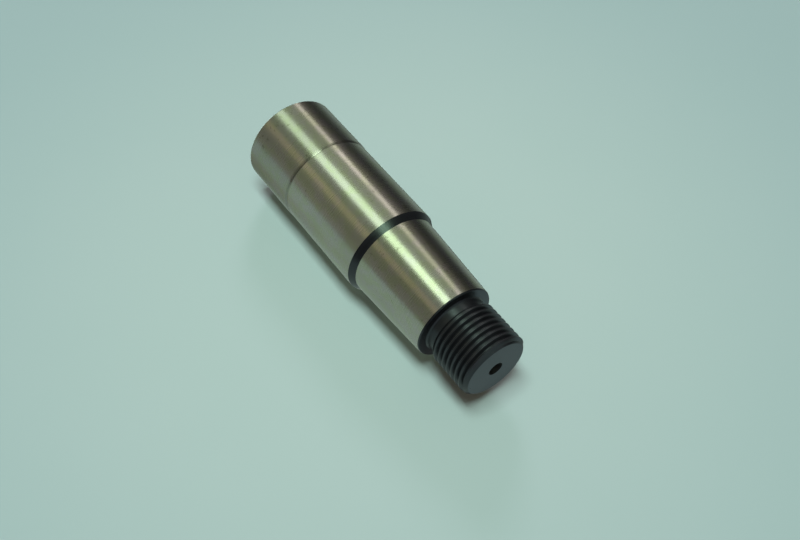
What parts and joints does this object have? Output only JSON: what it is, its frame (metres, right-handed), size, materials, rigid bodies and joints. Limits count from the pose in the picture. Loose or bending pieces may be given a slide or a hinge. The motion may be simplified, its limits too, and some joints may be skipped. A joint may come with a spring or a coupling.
{
  "type": "turned taper pin",
  "caption": "Turned and ground steel pin with a press seat, a journal, a 1:10 taper seat, a shoulder, an undercut neck and a male thread.",
  "frame": {"origin": "centre of the flat face of the large end, which the pin stands on", "axes": "+Z along the pin's axis, from the large end to the threaded end"},
  "size_m": [0.0252, 0.0252, 0.086],
  "materials": {
    "ground_steel": "cylindrical seats and taper ground bright, with fine marks round the axis; relief chamfer, shoulder, neck, thread and tip black oxide"
  },
  "bodies": {
    "root": {"taper_pin": "ground_steel"}
  },
  "joints": []
}
